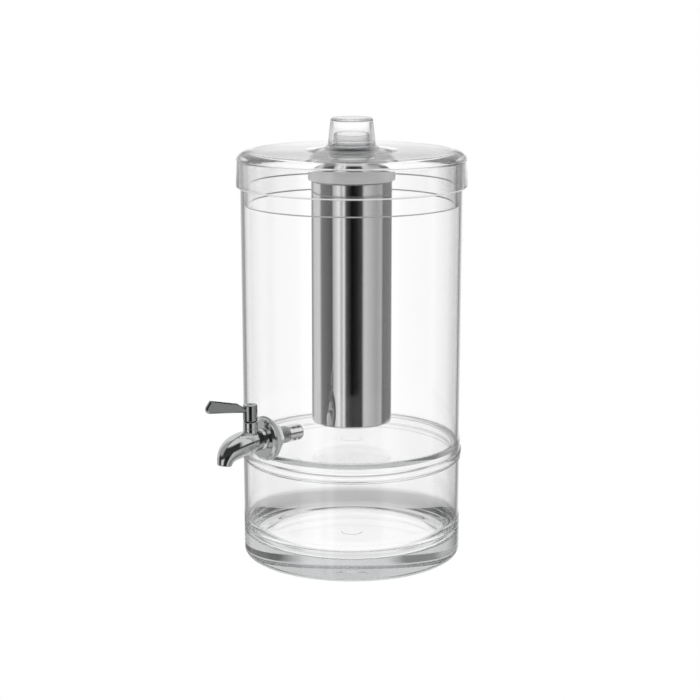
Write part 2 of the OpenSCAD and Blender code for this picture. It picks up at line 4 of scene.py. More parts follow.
import bpy
import numpy as np
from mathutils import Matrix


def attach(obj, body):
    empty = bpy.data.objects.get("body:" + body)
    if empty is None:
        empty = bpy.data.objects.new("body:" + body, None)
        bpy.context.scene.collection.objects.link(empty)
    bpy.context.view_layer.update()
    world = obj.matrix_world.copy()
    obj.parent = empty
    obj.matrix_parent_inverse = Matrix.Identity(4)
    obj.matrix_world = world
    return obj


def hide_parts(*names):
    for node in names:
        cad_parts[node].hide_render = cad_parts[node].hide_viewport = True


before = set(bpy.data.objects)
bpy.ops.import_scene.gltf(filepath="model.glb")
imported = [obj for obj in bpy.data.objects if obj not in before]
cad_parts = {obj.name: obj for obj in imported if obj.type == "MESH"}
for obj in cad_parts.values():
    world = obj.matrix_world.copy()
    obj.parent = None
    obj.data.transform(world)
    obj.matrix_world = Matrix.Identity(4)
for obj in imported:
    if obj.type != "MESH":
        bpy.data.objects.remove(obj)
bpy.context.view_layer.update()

# Pedestal: a thick-floored clear cup, injection moulded in one shot, that lifts the jar so a glass fits
# under the spout. Its wide inner radius and solid floor bend the light into dark and bright rings.
# It stands on a narrow ring and the jar drops into its mouth.
MM = 0.001
UPRIGHT = np.eye(3)


def rounded(points, radii, steps=6):
    """Fillets of a half section: at each inner point an arc of the given radius touches both neighbouring
    edges. Gives rows of radius, level and the outward normal, which is the travel turned clockwise."""
    p = np.asarray(points, float)
    rad = np.asarray(radii, float)[:, None]
    u = p[:-2] - p[1:-1]
    v = p[2:] - p[1:-1]
    u /= np.linalg.norm(u, axis=1, keepdims=True)
    v /= np.linalg.norm(v, axis=1, keepdims=True)
    half = np.arccos(np.clip((u * v).sum(1, keepdims=True), -1, 1)) / 2
    bis = (u + v) / np.linalg.norm(u + v, axis=1, keepdims=True)
    centre = p[1:-1] + bis * rad / np.sin(half)
    start = p[1:-1] + u * rad / np.tan(half) - centre
    turn = np.sign(u[:, :1] * v[:, 1:] - u[:, 1:] * v[:, :1]) * (np.pi - 2 * half)
    a = np.arctan2(start[:, 1:], start[:, :1]) - turn * np.linspace(0, 1, steps + 1)
    arm = np.stack([np.cos(a), np.sin(a)], 2)
    out = np.sign(turn)[:, :, None] * -1
    at = centre[:, None] + rad[:, :, None] * arm
    return np.concatenate([at, out * arm], 2).reshape(-1, 4)


def swept(cr, cz, rr, rz, a0, a1, steps):
    """Elliptic arc of a half section that bulges out round a centre, from angle a0 to a1 in degrees."""
    a = np.radians(np.linspace(a0, a1, steps + 1))
    n = np.stack([np.cos(a) / rr, np.sin(a) / rz], 1)
    n /= np.linalg.norm(n, axis=1, keepdims=True)
    return np.column_stack([cr + rr * np.cos(a), cz + rz * np.sin(a), n])


def on_axis(level, up):
    """The point where a half section meets its axis."""
    return np.array([[0.0, level, 0.0, up]])


def around(rows, a):
    """Points and normals of a half section's rows carried round the axis by the angles a: r cos a, r sin a
    and the level."""
    ring = np.stack([np.cos(a), np.sin(a)], -1)
    flat = 0 * ring[..., :1]
    r, z, out, up = rows.T[:, :, None, None]
    points = np.concatenate([r * ring, z + flat], 2)
    normals = np.concatenate([out * ring, up + flat], 2)
    return points.reshape(-1, 3), normals.reshape(-1, 3)


def tidy_faces(quads):
    """Numbers only the points that are used and makes triangles of the quads with a doubled corner."""
    kept, names = np.unique(quads, return_inverse=True)
    names = names.reshape(-1, 4)
    single = names[:, 0] == names[:, 1]
    double = names[:, 2] == names[:, 3]
    faces = names[~single & ~double].tolist() + names[single][:, 1:].tolist() + names[double][:, :3].tolist()
    return kept, faces


def turned(rows, sides=256, origin=(0, 0, 0), axes=UPRIGHT, closed=False):
    """Surface of revolution in the given axes. Rows on the axis become one pole. Gives points, faces and a
    normal for each point, in millimetres."""
    n = len(rows)
    points, normals = around(rows, np.linspace(0, 2 * np.pi, sides, endpoint=False)[None])
    index = np.arange(n * sides).reshape(n, sides)
    pole = rows[:, 0] < 1e-9
    index[pole] = index[pole, :1]
    low = index if closed else index[:-1]
    high = np.roll(index, -1, 0) if closed else index[1:]
    quads = np.stack([low, np.roll(low, -1, 1), np.roll(high, -1, 1), high], 2).reshape(-1, 4)
    kept, faces = tidy_faces(quads)
    return points[kept] @ axes + np.asarray(origin, float), faces, normals[kept] @ axes


def put(name, shells, finish, body, node):
    """One piece from its shells of points, faces and normals, riding on a body in place of a node."""
    points = np.concatenate([s[0] for s in shells]) * MM
    starts = np.cumsum([0] + [len(s[0]) for s in shells])
    faces = [[k + int(b) for k in f] for s, b in zip(shells, starts) for f in s[1]]
    mesh = bpy.data.meshes.new(name)
    mesh.from_pydata(points.tolist(), [], faces)
    mesh.polygons.foreach_set("use_smooth", np.ones(len(faces), bool))
    if all(len(s) == 3 for s in shells):
        mesh.normals_split_custom_set_from_vertices(np.concatenate([s[2] for s in shells]).tolist())
    mesh.materials.append(finish)
    piece = bpy.data.objects.new(name, mesh)
    bpy.context.scene.collection.objects.link(piece)
    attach(piece, body)
    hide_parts(node)
    return piece


def new_finish(name):
    """A node material with its Principled shader."""
    finish = bpy.data.materials.new(name)
    finish.use_nodes = True
    return finish, finish.node_tree, finish.node_tree.nodes["Principled BSDF"]


def marks_group(name, extent):
    """An empty group for surface marks: it takes coordinates, a polish and the marks' extent, and gives a
    rough value and a height."""
    group = bpy.data.node_groups.new(name, "ShaderNodeTree")
    face = group.interface
    face.new_socket("Vector", in_out="INPUT", socket_type="NodeSocketVector")
    face.new_socket("Polish", in_out="INPUT", socket_type="NodeSocketFloat")
    face.new_socket(extent, in_out="INPUT", socket_type="NodeSocketFloat")
    face.new_socket("Roughness", in_out="OUTPUT", socket_type="NodeSocketFloat")
    face.new_socket("Height", in_out="OUTPUT", socket_type="NodeSocketFloat")
    return group, group.nodes.new("NodeGroupInput"), group.nodes.new("NodeGroupOutput")


def noise_in(group, way_in, scale, detail):
    """Noise of one grain on the group's coordinates."""
    noise = group.nodes.new("ShaderNodeTexNoise")
    noise.inputs["Scale"].default_value = scale
    noise.inputs["Detail"].default_value = detail
    group.links.new(way_in.outputs["Vector"], noise.inputs["Vector"])
    return noise.outputs["Fac"]


def rough_from(group, way_in, way_out, marks, extent):
    """The rough value: the marks times their extent on top of the polish."""
    amount = group.nodes.new("ShaderNodeMath")
    amount.operation = "MULTIPLY_ADD"
    group.links.new(marks, amount.inputs[0])
    group.links.new(way_in.outputs[extent], amount.inputs[1])
    group.links.new(way_in.outputs["Polish"], amount.inputs[2])
    group.links.new(amount.outputs[0], way_out.inputs["Roughness"])


def handling_group():
    """Faint smears and a slow moulding wave of a wiped plastic surface, from two noises of different grain
    on the object's own coordinates."""
    group, way_in, way_out = marks_group("wiped_plastic", "Smear")
    level = group.nodes.new("ShaderNodeMapRange")
    level.inputs["From Min"].default_value = 0.45
    level.inputs["From Max"].default_value = 0.8
    group.links.new(noise_in(group, way_in, 26, 4), level.inputs["Value"])
    rough_from(group, way_in, way_out, level.outputs["Result"], "Smear")
    group.links.new(noise_in(group, way_in, 9, 1), way_out.inputs["Height"])
    return group


def polish_group():
    """Fine turning marks of polished steel: noise drawn out along one direction by the scale of its vector
    gives a rough value and a height."""
    group, way_in, way_out = marks_group("polish_marks", "Spread")
    grain = noise_in(group, way_in, 1, 3)
    rough_from(group, way_in, way_out, grain, "Spread")
    group.links.new(grain, way_out.inputs["Height"])
    return group


def mark_skin(tree, skin, group, polish, extent, bump_by, bump_depth, stretch_by=None):
    """A group's marks on a shader: their rough value, where bump_by isn't 0 their height as a bump, and with
    stretch_by the coordinates drawn out by three scales."""
    spot = tree.nodes.new("ShaderNodeTexCoord").outputs["Object"]
    if stretch_by:
        stretch = tree.nodes.new("ShaderNodeMapping")
        stretch.inputs["Scale"].default_value = stretch_by
        tree.links.new(spot, stretch.inputs["Vector"])
        spot = stretch.outputs["Vector"]
    marks = tree.nodes.new("ShaderNodeGroup")
    marks.node_tree = group
    marks.inputs[1].default_value = polish
    marks.inputs[2].default_value = extent
    tree.links.new(spot, marks.inputs["Vector"])
    tree.links.new(marks.outputs["Roughness"], skin.inputs["Roughness"])
    if bump_by:
        bump = tree.nodes.new("ShaderNodeBump")
        bump.inputs["Strength"].default_value = bump_by
        bump.inputs["Distance"].default_value = bump_depth
        tree.links.new(marks.outputs["Height"], bump.inputs["Height"])
        tree.links.new(bump.outputs["Normal"], skin.inputs["Normal"])


wiped = handling_group()
polish_marks = polish_group()


def clear_finish(name, polish, smear, wave, density, gloss):
    """Clear moulding: a transmitting shader with a wiped polish, a slow moulding wave in its bump and a
    little grey that grows with the way through the material. Gloss scales what it mirrors head-on."""
    finish, tree, skin = new_finish(name)
    skin.inputs["Base Color"].default_value = (1.0, 1.0, 1.0, 1)
    skin.inputs["Transmission Weight"].default_value = 1.0
    skin.inputs["IOR"].default_value = 1.49
    skin.inputs["Specular Tint"].default_value = (gloss, gloss, gloss, 1)
    mark_skin(tree, skin, wiped, polish, smear, wave, 0.002)
    if density:
        tint = tree.nodes.new("ShaderNodeVolumeAbsorption")
        tint.inputs["Color"].default_value = (0.33, 0.35, 0.36, 1)
        tint.inputs["Density"].default_value = density
        tree.links.new(tint.outputs["Volume"], tree.nodes["Material Output"].inputs["Volume"])
    return finish


clear_base = clear_finish("clear_pedestal", 0.004, 0.012, 0.02, 3.3, 1.0)
HOLLOW_Z = 1.2
CUP_FLOOR = 17
CUP_MARK = 17.5
CUP_TOP = 99
MARK_R = 10.5
foot = np.concatenate([
    on_axis(HOLLOW_Z, -1),
    rounded([(0, HOLLOW_Z), (93.0, HOLLOW_Z), (93.0, 0), (106.96, 0), (107.8, CUP_TOP), (103.6, CUP_TOP),
             (103.2, CUP_FLOOR), (MARK_R, CUP_FLOOR), (MARK_R, CUP_MARK), (0, CUP_MARK)],
            [0.4, 0.6, 5, 1.0, 0.8, 25, 0.2, 0.25], 8),
    on_axis(CUP_MARK, 1)])
put("pedestal_cup", [turned(foot)], clear_base, "base", "base_stand")

# Jar: a clear drafted cylinder with a floor, a rolled bead round its foot, a nesting ring under it and a
# rounded rim. One moulding; the hole for the tap is drilled through the wall just above the floor.
TAP_Z = 131.5
HOLE_R = 8.5
NEST_Z = 95.6
SEAT_Z = 99.2
JAR_UNDER = 109.5
JAR_FLOOR = 114.5
RIM_Z = 391
MARK_DEPTH = 0.5
OUTER_WALL = (107.2, SEAT_Z, 108.2, RIM_Z)
INNER_WALL = (103.25, JAR_FLOOR, 104.2, RIM_Z)


def drilled(rows, sides, reach):
    """A turned wall whose seam opens into a round hole: each row's angle starts and ends short of the seam
    by the hole's half width at that level, so the wall stays true and the seam closes above and below."""
    n = len(rows)
    half = np.sqrt(np.clip(HOLE_R ** 2 - (rows[:, 1] - TAP_Z) ** 2, 0, None)) * reach
    gap = np.arcsin(half / np.maximum(rows[:, 0], 20))
    share = np.linspace(0, 1, sides + 1)
    a = -np.pi / 2 + gap[:, None] + (2 * np.pi - 2 * gap[:, None]) * share
    points, normals = around(rows, a)
    index = np.arange(n * (sides + 1)).reshape(n, sides + 1)
    shut = gap < 1e-6
    index[shut, -1] = index[shut, 0]
    pole = rows[:, 0] < 1e-9
    index[pole] = index[pole, :1]
    quads = np.stack([index[:-1, :-1], index[:-1, 1:], index[1:, 1:], index[1:, :-1]], 2).reshape(-1, 4)
    cut = np.flatnonzero(reach > 0)
    up = cut[:len(cut) // 2]
    down = cut[len(cut) // 2:][::-1]
    left = np.stack([index[up[:-1], 0], index[up[1:], 0], index[down[1:], 0], index[down[:-1], 0]], 1)
    right = np.stack([index[up[1:], -1], index[up[:-1], -1], index[down[:-1], -1], index[down[1:], -1]], 1)
    bore = np.concatenate([left, right])
    kept, faces = tidy_faces(np.concatenate([quads, bore]))
    return points[kept], faces, normals[kept]


def wall_rows(r0, z0, r1, z1, levels, side):
    """Rows of a drafted wall between two points at the given levels."""
    z = np.asarray(levels, float)
    r = r0 + (r1 - r0) * (z - z0) / (z1 - z0)
    return np.column_stack([r, z, np.full(len(z), side), np.zeros(len(z))])


clear_jar = clear_finish("clear_jar", 0.004, 0.012, 0.02, 4.5, 0.8)
HOLE_ROWS = 33
hole_levels = TAP_Z + HOLE_R * np.sin(np.linspace(-np.pi / 2, np.pi / 2, HOLE_ROWS))
mark_z = JAR_UNDER - MARK_DEPTH
under = np.concatenate([
    rounded([(0, mark_z), (MARK_R, mark_z), (MARK_R, JAR_UNDER), (99.0, JAR_UNDER), (99.0, NEST_Z),
             (103.0, NEST_Z), (103.0, SEAT_Z), (107.2, SEAT_Z), (107.2, SEAT_Z + 1)],
            [0.25, 0.2, 0.5, 0.5, 0.5, 0.4, 0.5], 7),
    swept(107.2, 103.4, 1.3, 3.2, -84, 84, 24),
    wall_rows(*OUTER_WALL, [107.0, 112.0], 1)])
rim = rounded([(107.2, SEAT_Z), (108.2, RIM_Z), (104.2, RIM_Z), (103.25, JAR_FLOOR)], [1.95, 1.95], 8)
bottom = rounded([(104.2, RIM_Z), (103.25, JAR_FLOOR), (0, JAR_FLOOR)], [2], 8)
outside = wall_rows(*OUTER_WALL, hole_levels, 1)
inside = wall_rows(*INNER_WALL, hole_levels[::-1], -1)
jar_rows = np.concatenate([on_axis(mark_z, -1), under, outside, rim, inside, bottom, on_axis(JAR_FLOOR, 1)])
first = 1 + len(under)
second = first + len(outside) + len(rim)
hole_reach = np.zeros(len(jar_rows))
hole_reach[first:first + HOLE_ROWS] = 1
hole_reach[second:second + HOLE_ROWS] = 1
put("jar", [drilled(jar_rows, 256, hole_reach)], clear_jar, "jar", "juice_jar")

# Gaskets and clamp: a milky gasket outside and a black one inside take up the round of the wall; a thick
# milky washer and a six-sided lock nut on the threaded shank draw the tap tight.


def soft_finish(name, colour, polish, smear, wave):
    """Rubber or plain plastic with a wiped surface and, where wave isn't 0, a soft unevenness."""
    finish, tree, skin = new_finish(name)
    skin.inputs["Base Color"].default_value = colour
    mark_skin(tree, skin, wiped, polish, smear, wave, 0.001)
    return finish


def steel_finish(name, colour, polish, spread, marks_scale, depth):
    """Polished stainless steel with turning marks drawn out by the three scales."""
    finish, tree, skin = new_finish(name)
    skin.inputs["Base Color"].default_value = colour
    skin.inputs["Metallic"].default_value = 1.0
    mark_skin(tree, skin, polish_marks, polish, spread, depth, 0.0002, marks_scale)
    return finish


def repaint(node, finish):
    """Gives a carried-over CAD node its finish."""
    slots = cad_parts[node].data.materials
    slots.clear()
    slots.append(finish)


silicone = soft_finish("milky_silicone", (0.50, 0.50, 0.51, 1), 0.38, 0.15, 0.08)
silicone.node_tree.nodes["Principled BSDF"].inputs["IOR"].default_value = 1.41
repaint("outer_gasket", silicone)
repaint("inner_washer", silicone)
tap_steel = steel_finish("tap_steel", (0.60, 0.61, 0.61, 1), 0.07, 0.05, (300, 300, 300), 0.04)
# The lever's steel is a darker copy of the tap's steel: painted shade that stands in for the dark room its
# faces mirror.
lever_steel_painted_dark = steel_finish("lever_steel_painted_dark", (0.37, 0.38, 0.38, 1), 0.07, 0.05, (300, 300, 300), 0.04)
clamp_steel = steel_finish("clamp_steel", (0.74, 0.74, 0.75, 1), 0.10, 0.08, (700, 60, 700), 0.06)
repaint("lock_nut", clamp_steel)

# Tap body: shank, horn spout and valve neck of one polished casting. The shank carries a fine pipe thread,
# the horn swells behind its bend and narrows into the bored outlet, and a coned flange backs it up.
ALONG_TAP = np.array([[1, 0, 0], [0, 0, 1], [0, -1, 0]], float)
TAP_AT = (0, 0, TAP_Z)
SHANK_S = 83.511
FLANGE_S = 109.111
BODY_S = 113.511
STEM_S = 126.011
ON_VALVE = (0, -STEM_S, 0)
SPOUT_S = 157.011
SPOUT_Z = 113.5
NECK_TOP = 145
NECK_R = 6.9
LIP_T = 0.985


def cubic(c, t):
    """Cubic curve with the four control values c."""
    return (1 - t) ** 3 * c[0] + 3 * t * (1 - t) ** 2 * c[1] + 3 * t * t * (1 - t) * c[2] + t ** 3 * c[3]


def lofted(rows, sides):
    """Faces of a closed skin over rows of points: a band between each row and the next, and a flat end on
    the first and on the last."""
    index = np.arange(rows * sides).reshape(rows, sides)
    bands = np.stack([index[:-1], np.roll(index[:-1], -1, 1), np.roll(index[1:], -1, 1), index[1:]], 2)
    return bands.reshape(-1, 4).tolist() + [index[0][::-1].tolist(), index[-1].tolist()]


def horn_surface(t, r, sides=72):
    """Circles of radius r carried square along the spout's curve at its parameters t, as one closed skin."""
    s_at = (BODY_S + 1.5, BODY_S + 0.75 * (SPOUT_S - BODY_S), SPOUT_S - 2, SPOUT_S)
    z_at = (TAP_Z, TAP_Z + 0.6, TAP_Z - 5.4, SPOUT_Z)
    ds = cubic(s_at, t + 1e-3) - cubic(s_at, t - 1e-3)
    dz = cubic(z_at, t + 1e-3) - cubic(z_at, t - 1e-3)
    size = np.hypot(ds, dz)
    a = np.linspace(0, 2 * np.pi, sides, endpoint=False)
    x = r[:, None] * np.cos(a)
    s = cubic(s_at, t)[:, None] - r[:, None] * np.sin(a) * (dz / size)[:, None]
    z = cubic(z_at, t)[:, None] + r[:, None] * np.sin(a) * (ds / size)[:, None]
    return np.stack([x, -s, z], 2).reshape(-1, 3), lofted(len(t), sides)


def threaded(r, depth, pitch, s0, s1, sides=72):
    """A thread: the radius falls off by a rounded ridge that climbs one pitch in each turn."""
    rows = int((s1 - s0) / pitch * 12)
    s = np.linspace(s0, s1, rows)[:, None]
    a = np.linspace(0, 2 * np.pi, sides, endpoint=False)
    lead = np.clip(np.minimum(s - s0, s1 - s) / pitch, 0, 1)
    ridge = r - depth * lead * (0.5 - 0.5 * np.cos(2 * np.pi * (s / pitch - a / (2 * np.pi))))
    points = np.stack([ridge * np.cos(a), -s + 0 * a, TAP_Z + ridge * np.sin(a)], 2)
    return points.reshape(-1, 3), lofted(rows, sides)


horn_d = (18.6, 30, 19, 13.4)
horn_t = np.linspace(0, LIP_T, 90)
lip = np.linspace(0, np.pi / 2, 6)
lip_t = LIP_T + (1 - LIP_T) * np.sin(lip)
horn_rows_t = np.concatenate([horn_t, lip_t, np.full(4, 1.0), np.linspace(0.99, 0.5, 20)])
lip_r = cubic(horn_d, np.array([LIP_T]))[0] / 2
horn_rows_r = np.concatenate([cubic(horn_d, horn_t) / 2, lip_r - 0.6 * (1 - np.cos(lip)),
                              np.linspace(lip_r - 0.9, 4.75, 4), np.full(20, 4.6)])
neck = np.concatenate([
    on_axis(TAP_Z, -1),
    rounded([(0, TAP_Z), (NECK_R, TAP_Z), (NECK_R, NECK_TOP), (0, NECK_TOP)], [0.3, 0.35], 6),
    on_axis(NECK_TOP, 1)])
collar = np.concatenate([
    on_axis(BODY_S, -1),
    rounded([(0, BODY_S), (10.8, BODY_S), (9.3, BODY_S + 3), (0, BODY_S + 3)], [0.25, 0.6], 5),
    on_axis(BODY_S + 3, 1)])
casting = [horn_surface(horn_rows_t, horn_rows_r), threaded(8.3, 0.75, 1.337, SHANK_S, BODY_S + 1),
           turned(neck, 96, ON_VALVE)[:2], turned(collar, 96, TAP_AT, ALONG_TAP)[:2]]
put("tap_casting", casting, tap_steel, "jar", "tap_body")
flange_rows = rounded([(8.4, BODY_S), (8.4, FLANGE_S), (20.5, FLANGE_S), (20.5, 111.751), (18.1, BODY_S),
                       (8.4, BODY_S), (8.4, FLANGE_S)], [0.2, 0.35, 0.6, 0.6, 0.2], 5)
flange = turned(flange_rows, 128, TAP_AT, ALONG_TAP, True)
put("tap_backing_flange", [flange], tap_steel, "jar", "tap_flange")

# Strainer: a closed steel tube end with two rows of drilled holes, pushed into the shank inside the jar.
# It keeps pips and ice out of the valve.
strainer_steel = steel_finish("strainer_steel", (0.80, 0.80, 0.80, 1), 0.07, 0.06, (500, 60, 500), 0.04)
repaint("strainer", strainer_steel)

# Valve: a plug in a white sliding sleeve, with two black seals on its stem, a screwed bonnet and a black
# dust ring that shows as the dark groove under the lever's hub.
liner = soft_finish("white_liner", (0.86, 0.86, 0.84, 1), 0.35, 0.2, 0)
seal_black = soft_finish("black_seal", (0.012, 0.012, 0.012, 1), 0.5, 0.2, 0)
repaint("valve_seat", liner)
repaint("stem_o_rings", seal_black)
repaint("dust_ring", seal_black)
repaint("inner_gasket", seal_black)
repaint("valve_plug", clamp_steel)
BONNET_TOP = 151
BONNET_Z = 139.2
STEM_HOLE = 3.45
bonnet_rows = rounded([(STEM_HOLE, BONNET_TOP), (STEM_HOLE, BONNET_Z), (6.1, BONNET_Z), (6.1, NECK_TOP),
                       (NECK_R, NECK_TOP), (NECK_R, BONNET_TOP), (STEM_HOLE, BONNET_TOP),
                       (STEM_HOLE, BONNET_Z)], [0.2, 0.3, 0.2, 0.3, 0.6, 0.2], 5)
bonnet = turned(bonnet_rows, 96, ON_VALVE, UPRIGHT, True)
put("valve_bonnet", [bonnet], tap_steel, "jar", "bonnet")

# Lever: a turned hub on the stem and an upright blade with a ground bevel round it, one polished forging,
# held by a socket screw sunk in the hub's top.
HUB_Z = 152.2
HUB_TOP = 167.4
HUB_R = 6.9
SOCKET_Z = 164.4
BLADE_Z = HUB_Z + 11.2
BLADE_T = 4.4
BEVEL = 1.3
TILT = math.radians(10.7)


def blade_outline(inset):
    """Side outline of the lever drawn in by an inset: half the height grows evenly from the heel to the tip,
    which has a round toe and a slanted end; the heel tapers down to the hub."""
    h = 12.3 - 2 * inset
    tip = 52 - inset
    toe = 0.36 * h
    root = 4.485
    half_at = np.array([9 + 3.3 * (x - 17) / 35 for x in (root, HUB_R)]) / 2
    heel_top = 4.6 - half_at[1]
    taper = (4.5 - heel_top) / (17 - HUB_R)
    a = np.radians(np.linspace(-90, 30, 25))
    curve = np.stack([tip - toe + toe * np.cos(a), -h / 2 + toe + toe * np.sin(a)], 1)
    back = np.array([(tip - 0.3 * h, h / 2), (17, 4.5 - inset),
                     (root, heel_top - taper * (HUB_R - root) - inset), (root, inset - half_at[0])])
    return np.concatenate([curve, back])


def plate(outlines, offsets):
    """A bevelled plate: outlines set at offsets across its thickness, skinned between and closed at both
    ends, then tilted up and set on the valve's axis."""
    n = len(outlines[0])
    u = np.concatenate(outlines)
    w = np.repeat(offsets, n)
    along = u[:, 0] * math.cos(TILT) - u[:, 1] * math.sin(TILT)
    rise = u[:, 0] * math.sin(TILT) + u[:, 1] * math.cos(TILT)
    return np.stack([-w, -STEM_S - along, BLADE_Z + rise], 1), lofted(len(outlines), n)


half_t = BLADE_T / 2
blade = plate([blade_outline(BEVEL), blade_outline(0), blade_outline(0), blade_outline(BEVEL)],
              [-half_t, BEVEL - half_t, half_t - BEVEL, half_t])
hub_rows = np.concatenate([
    on_axis(HUB_Z, -1),
    rounded([(0, HUB_Z), (HUB_R, HUB_Z), (HUB_R, HUB_TOP), (2.8, HUB_TOP), (2.8, SOCKET_Z), (0, SOCKET_Z)],
            [0.4, 0.8, 0.25, 0.2], 5),
    on_axis(SOCKET_Z, 1)])
hub = turned(hub_rows, 96, ON_VALVE)[:2]
# The lever wears the darker copy of the steel, which is painted shade.
lever = put("tap_lever", [blade, hub], lever_steel_painted_dark, "lever", "tap_handle")
edge = lever.modifiers.new("ground_edges", "BEVEL")
edge.width = 0.0003
edge.segments = 2
edge.limit_method = "ANGLE"
edge.angle_limit = math.radians(25)
edge.harden_normals = True
repaint("handle_screw", clamp_steel)

# Lid: a crowned clear plate with an outer skirt over the rim, a deeper plug ring inside it and, under the
# knob, a hollow trumpet boss that opens below into a frosted bell, which stands on the tube cap. One
# moulding. The bell's grey tint is painted shade, and the lower edges of the skirt and the plug ring carry
# a pale, nearly opaque skin that is a painted highlight for the light their rounded ends bend in.
LID_SEAT = 391.2
LID_TOP = 399.2
LID_UNDER = 394.7
SKIRT_Z = 364.2
PLUG_Z = 347.2
BELL_Z = 388.3
BOSS_Z = 407.3
BOSS_R = 22.9
CROWN_Z = 390.2
EDGE_H = 1.4


def tint_and_painted_light_finish(name, polish, smear, colour, through):
    """A clear moulding whose skin has a given colour and lets only a share of the light through: the milky
    cap's own colour, the bell's painted shade and the lid edges' painted highlight.
    """
    finish = clear_finish(name, polish, smear, 0.02, 0, 0.3)
    skin = finish.node_tree.nodes["Principled BSDF"]
    skin.inputs["Base Color"].default_value = colour
    skin.inputs["Transmission Weight"].default_value = through
    return finish


def finish_rows(piece, finishes, choice):
    """More finishes on a closed turned piece: the ring of faces after each row takes the finish chosen for
    it, with 0 for the piece's first one."""
    for finish in finishes:
        piece.data.materials.append(finish)
    sides = len(piece.data.polygons) // len(choice)
    piece.data.polygons.foreach_set("material_index", np.repeat(choice, sides).astype(np.int32))


clear_lid = clear_finish("clear_lid", 0.006, 0.012, 0.02, 0, 0.3)
# The bell's grey base colour tints all the light it lets through: painted shade for the darker view through
# the cone.
frosted_bell_painted_shade = tint_and_painted_light_finish("frosted_bell_painted_shade", 0.30, 0.10, (0.42, 0.43, 0.44, 1), 1.0)
# The lid's lower edges get a pale skin that passes little light: a painted highlight for the light their
# rounded ends bend in.
painted_bright_edge = tint_and_painted_light_finish("painted_bright_edge", 0.30, 0.10, (0.75, 0.75, 0.75, 1), 0.15)
sweep = np.radians(np.linspace(90, 0, 33))
rise = BOSS_Z - LID_TOP
sweep_r = BOSS_R + 24 * (1 - np.cos(sweep)) ** 1.5
sweep_z = BOSS_Z - rise * np.sin(sweep)
sweep_n = np.stack([rise * np.cos(sweep), 36 * np.sqrt(1 - np.cos(sweep)) * np.sin(sweep)], 1) + 1e-6
sweep_n /= np.linalg.norm(sweep_n, axis=1, keepdims=True)
trumpet = np.column_stack([sweep_r, sweep_z, sweep_n])[:-3]
lid_out = np.concatenate([
    rounded([(108.8, LID_SEAT), (108.8, SKIRT_Z), (111.9, SKIRT_Z), (111.2, CROWN_Z)], [1.5, 1.5], 8),
    swept(95.7, CROWN_Z, 15.5, 9, 0, 90, 28),
    trumpet])
lid_in = rounded([(22.93, 406.4), (BOSS_R, BOSS_Z), (18.0, BOSS_Z), (18.0, 403.5), (36.7, BELL_Z),
                  (40.1, BELL_Z), (32.226, LID_UNDER), (100.6, LID_UNDER), (100.6, PLUG_Z), (103.6, PLUG_Z),
                  (103.6, LID_SEAT), (108.8, LID_SEAT), (108.8, SKIRT_Z)],
                 [0.15, 0.3, 1.5, 0.5, 0.5, 1.2, 1.0, 1.45, 1.45, 0.5, 0.5], 8)
lid_rows = np.concatenate([lid_out, lid_in])
lid_r = lid_rows[:, 0]
lid_z = lid_rows[:, 1]
cover = put("lid_cover", [turned(lid_rows, closed=True)], clear_lid, "lid", "lid")
inner_side = np.arange(len(lid_rows)) >= len(lid_out)
in_bell = inner_side & (np.maximum(lid_r, np.roll(lid_r, -1)) < 41) & (lid_z < 406)
skirt_edge = (lid_z > SKIRT_Z - 1) & (lid_z < SKIRT_Z + EDGE_H)
plug_edge = lid_z < PLUG_Z + EDGE_H
finish_rows(cover, [frosted_bell_painted_shade, painted_bright_edge], np.where(skirt_edge | plug_edge, 2, in_bell))

# Tube cap: a stepped hollow cap with a ring that turns into the steel tube and a clear neck up through the
# lid; its shoulder is milky, and a thin seal lies round the ring, under the rim.
CAP_LOW = 358.7
CAP_Z = 370.7
CAP_STEP = 379.5
CAP_ROOF = 384
NECK_END = 413.9
cap_rows = rounded([(35.4, CAP_ROOF), (35.4, CAP_LOW), (38.0, CAP_LOW), (38.0, CAP_Z), (42.3, CAP_Z),
                    (42.3, CAP_STEP), (41.3, CAP_STEP), (41.3, BELL_Z), (17.9, BELL_Z), (17.9, NECK_END),
                    (15.0, NECK_END), (15.0, CAP_ROOF), (35.4, CAP_ROOF), (35.4, CAP_LOW)],
                   [0.4, 0.4, 0.3, 0.5, 0.45, 0.4, 1.2, 0.4, 0.4, 0.4, 0.3, 0.6], 6)
clear_cap = clear_finish("clear_cap", 0.22, 0.06, 0.02, 0, 0.3)
milky_cap = tint_and_painted_light_finish("milky_cap", 0.22, 0.06, (1.0, 0.99, 1.0, 1), 0.05)
cap = put("tube_collar", [turned(cap_rows, 192, closed=True)], clear_cap, "lid", "tube_cap")
finish_rows(cap, [milky_cap], (cap_rows[:, 1] < BELL_Z + 0.7) & (cap_rows[:, 0] > 30))
repaint("tube_seal", silicone)

# Ice tube: drawn stainless tube, closed below, polished on a lathe so that fine marks run round it. It
# hangs from the cap and is filled with ice through the neck.
tube_steel = steel_finish("ice_tube_steel", (0.80, 0.80, 0.80, 1), 0.05, 0.07, (6, 6, 900), 0.05)
TUBE_Z = 132.2
TUBE_FLOOR = 133.2
TUBE_TOP = 369.2
tube_rows = np.concatenate([
    on_axis(TUBE_Z, -1),
    rounded([(0, TUBE_Z), (39.3, TUBE_Z), (39.3, TUBE_TOP), (38.3, TUBE_TOP), (38.3, TUBE_FLOOR),
             (0, TUBE_FLOOR)], [2.4, 0.3, 0.3, 1.4], 6),
    on_axis(TUBE_FLOOR, 1)])
put("ice_cylinder", [turned(tube_rows, 192)], tube_steel, "tube", "ice_tube")

